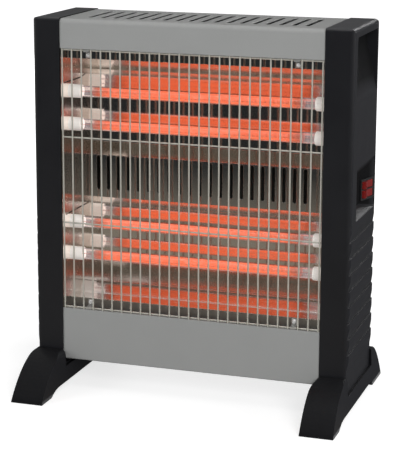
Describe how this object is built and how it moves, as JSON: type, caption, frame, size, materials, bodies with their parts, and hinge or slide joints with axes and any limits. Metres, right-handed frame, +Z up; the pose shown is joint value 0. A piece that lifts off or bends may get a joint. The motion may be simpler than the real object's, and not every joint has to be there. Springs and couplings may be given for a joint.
{
  "type": "quartz heater",
  "caption": "Free-standing electric room heater: grey metal body between black side panels on arched feet, quartz tubes in a folded reflector behind a wire guard, rocker switches on one side.",
  "frame": {"origin": "on the floor, under the middle of the whole heater's box", "axes": "+Z up, the glowing front faces -Y, +X is to the right of someone who looks at the front"},
  "size_m": [0.405, 0.258, 0.465],
  "materials": {
    "grey_paint": "satin grey enamel",
    "zinc_sheet": "plain zinc-coated sheet",
    "bright_sheet": "bright aluminised sheet",
    "reflector_sheet": "bright polished reflector sheet",
    "black_moulding": "fine satin moulded black",
    "guard_wire": "bright nickel-plated wire",
    "plated_screw": "bright zinc-plated",
    "quartz": "clear fused quartz",
    "glowing_coil": "glowing orange-red",
    "ceramic": "unglazed white ceramic",
    "brass_strip": "plain brass",
    "switch_black": "glossy black",
    "red_rocker": "translucent dark red",
    "connector": "off-white connector body",
    "wire_sleeve": "woven glass-fibre sleeve",
    "rubber_bush": "matt black rubber"
  },
  "bodies": {
    "root": {"top_shell": "grey_paint", "lower_panel": "grey_paint", "base_plate": "zinc_sheet", "back_panel": "grey_paint", "left_end_plate": "bright_sheet", "right_end_plate": "bright_sheet", "left_side_panel": "black_moulding", "right_side_panel": "black_moulding", "left_foot": "black_moulding", "right_foot": "black_moulding", "wire_guard": "guard_wire", "guard_clips": "bright_sheet", "guard_screws": "plated_screw", "main_reflector": "reflector_sheet", "lower_reflector": "reflector_sheet", "quartz_tube_1": "quartz", "quartz_tube_2": "quartz", "quartz_tube_3": "quartz", "quartz_tube_4": "quartz", "heating_coil_1": "glowing_coil", "heating_coil_2": "glowing_coil", "heating_coil_3": "glowing_coil", "heating_coil_4": "glowing_coil", "left_cap_1": "ceramic", "left_cap_2": "ceramic", "left_cap_3": "ceramic", "left_cap_4": "ceramic", "right_cap_1": "ceramic", "right_cap_2": "ceramic", "right_cap_3": "ceramic", "right_cap_4": "ceramic", "left_link_strip": "brass_strip", "right_link_strips": "brass_strip", "left_stud_nuts": "plated_screw", "right_stud_nuts": "plated_screw", "switch_housing": "switch_black", "switch_blades": "brass_strip", "terminal_block": "connector", "terminal_screws": "brass_strip", "thermal_cutout": "switch_black", "feed_wires": "wire_sleeve", "cross_wire": "wire_sleeve", "cord_grommet": "rubber_bush", "back_screws": "plated_screw", "foot_screws": "plated_screw"},
    "upper_rocker": {"upper_rocker": "red_rocker"},
    "lower_rocker": {"lower_rocker": "red_rocker"}
  },
  "joints": [
    {"name": "upper_rocker_press", "type": "hinge", "parent": "root", "child": "upper_rocker", "pos_m": [0.19206, 0.05493, 0.2646], "axis": [0, 0, 1], "range_deg": [-22, 0]},
    {"name": "lower_rocker_press", "type": "hinge", "parent": "root", "child": "lower_rocker", "pos_m": [0.19206, 0.05493, 0.2534], "axis": [0, 0, 1], "range_deg": [-22, 0]}
  ]
}
